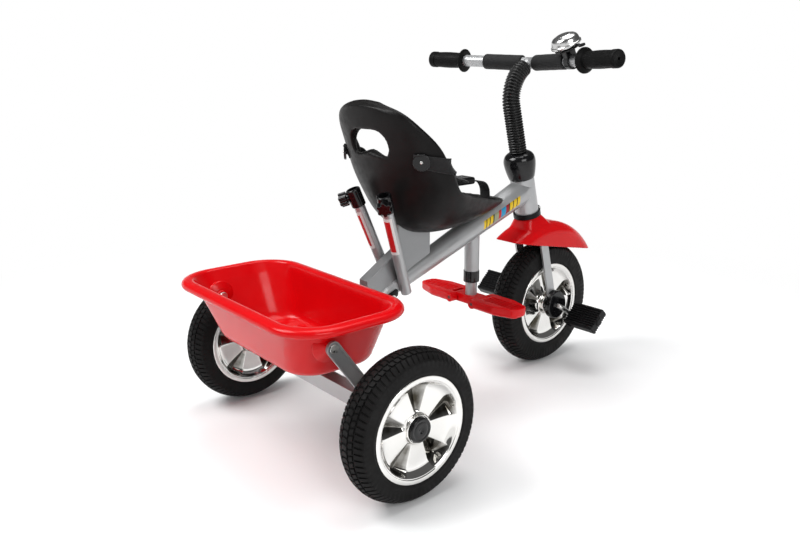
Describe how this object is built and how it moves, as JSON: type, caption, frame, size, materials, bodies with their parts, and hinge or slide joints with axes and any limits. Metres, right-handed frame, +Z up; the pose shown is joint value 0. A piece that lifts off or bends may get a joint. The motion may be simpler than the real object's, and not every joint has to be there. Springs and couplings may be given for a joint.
{
  "type": "children's tricycle",
  "caption": "Children's tricycle with a moulded seat and lap belt, pedals on the steered front wheel, folding footrests, a handlebar with a bell and a tipping bucket over the rear axle.",
  "frame": {"origin": "on the ground, under the middle of the bounding box", "axes": "+X forward, +Y to the rider's left, +Z up"},
  "size_m": [0.845, 0.526, 0.6621],
  "materials": {
    "frame_paint": "satin silver paint",
    "bracket_paint": "satin grey paint",
    "zinc_steel": "bright zinc plate",
    "tyre_rubber": "matt moulded tread",
    "rim_plating": "chrome plated",
    "bell_chrome": "polished",
    "red_plastic": "glossy moulding",
    "black_plastic": "fine grain",
    "seat_plastic": "fine grain",
    "pad_fabric": "light woven cover",
    "webbing": "woven webbing",
    "grip_rubber": "ribbed",
    "foam": "closed-cell foam",
    "bellows_rubber": "ribbed, semi-gloss"
  },
  "bodies": {
    "frame": {"head_tube": "frame_paint", "rear_beam": "frame_paint", "main_tube": "frame_paint", "head_bearings": "zinc_steel", "head_ring": "black_plastic", "frame_bolts": "zinc_steel", "rear_axle": "zinc_steel", "axle_spacers": "black_plastic", "axle_nuts": "zinc_steel", "post_socket": "frame_paint", "footrest_post": "frame_paint", "post_collar": "black_plastic", "footrest_pins": "zinc_steel", "footrest_bracket": "red_plastic", "handle_socket_left": "frame_paint", "handle_socket_right": "frame_paint", "handle_clamps": "black_plastic", "seat_shell": "seat_plastic", "seat_pad": "pad_fabric", "seat_bracket": "bracket_paint", "tube_saddle": "black_plastic", "seat_belts": "webbing", "belt_buckle": "black_plastic", "belt_plugs": "black_plastic", "bucket_bolts": "zinc_steel", "bucket_brackets": "bracket_paint", "bucket_rest": "black_plastic"},
    "steering": {"fork": "frame_paint", "steerer": "frame_paint", "hub_covers": "black_plastic", "fender": "red_plastic", "headset_cap": "black_plastic", "handlebar": "frame_paint", "stem": "frame_paint", "stem_bellows": "bellows_rubber", "grips": "grip_rubber", "foam_sleeves": "foam", "bell_base": "black_plastic", "bell_dome": "bell_chrome"},
    "front_wheel": {"front_tyre": "tyre_rubber", "front_rim": "rim_plating", "front_bush": "black_plastic", "crank": "zinc_steel"},
    "pedal_left_body": {"pedal_left": "black_plastic"},
    "pedal_right_body": {"pedal_right": "black_plastic"},
    "rear_wheel_left": {"rear_left_tyre": "tyre_rubber", "rear_left_rim": "rim_plating", "rear_left_bush": "black_plastic", "rear_left_cap": "black_plastic"},
    "rear_wheel_right": {"rear_right_tyre": "tyre_rubber", "rear_right_rim": "rim_plating", "rear_right_bush": "black_plastic", "rear_right_cap": "black_plastic"},
    "bucket_body": {"bucket": "red_plastic"},
    "footrest_left_body": {"footrest_left": "red_plastic"},
    "footrest_right_body": {"footrest_right": "red_plastic"},
    "knob_left_body": {"knob_left": "black_plastic"},
    "knob_right_body": {"knob_right": "black_plastic"},
    "bell_lever_body": {"bell_lever": "black_plastic"}
  },
  "joints": [
    {"name": "steer", "type": "hinge", "parent": "frame", "child": "steering", "pos_m": [0.2945, 0, 0.128], "axis": [-0.2504, 0, 0.9681], "range_deg": [-35, 35]},
    {"name": "front_wheel_spin", "type": "hinge", "parent": "steering", "child": "front_wheel", "pos_m": [0.2945, 0, 0.128], "axis": [0, 1, 0], "continuous": true},
    {"name": "pedal_left_spin", "type": "hinge", "parent": "front_wheel", "child": "pedal_left_body", "pos_m": [0.26483, 0.095, 0.14839], "axis": [0, 1, 0], "continuous": true},
    {"name": "pedal_right_spin", "type": "hinge", "parent": "front_wheel", "child": "pedal_right_body", "pos_m": [0.32417, -0.095, 0.10761], "axis": [0, 1, 0], "continuous": true},
    {"name": "rear_left_spin", "type": "hinge", "parent": "frame", "child": "rear_wheel_left", "pos_m": [-0.2635, 0.2365, 0.115], "axis": [0, 1, 0], "continuous": true},
    {"name": "rear_right_spin", "type": "hinge", "parent": "frame", "child": "rear_wheel_right", "pos_m": [-0.2635, -0.2365, 0.115], "axis": [0, 1, 0], "continuous": true},
    {"name": "bucket_tip", "type": "hinge", "parent": "frame", "child": "bucket_body", "pos_m": [-0.3485, 0, 0.233], "axis": [0, -1, 0], "range_deg": [0, 70]},
    {"name": "footrest_left_fold", "type": "hinge", "parent": "frame", "child": "footrest_left_body", "pos_m": [0.0925, 0.03, 0.175], "axis": [1, 0, 0], "range_deg": [0, 88]},
    {"name": "footrest_right_fold", "type": "hinge", "parent": "frame", "child": "footrest_right_body", "pos_m": [0.0925, -0.03, 0.175], "axis": [-1, 0, 0], "range_deg": [0, 88]},
    {"name": "knob_left_turn", "type": "hinge", "parent": "frame", "child": "knob_left_body", "pos_m": [-0.14721, 0.0406, 0.39466], "axis": [-0.6351, 0.702, -0.3222], "continuous": true},
    {"name": "knob_right_turn", "type": "hinge", "parent": "frame", "child": "knob_right_body", "pos_m": [-0.14721, -0.0406, 0.39466], "axis": [-0.6351, -0.702, -0.3222], "continuous": true},
    {"name": "bell_lever_push", "type": "hinge", "parent": "steering", "child": "bell_lever_body", "pos_m": [0.20206, -0.12412, 0.63783], "axis": [-0.4109, 0.1039, 0.9057], "range_deg": [0, 25], "stiffness_Nm_per_rad": 0.02}
  ]
}
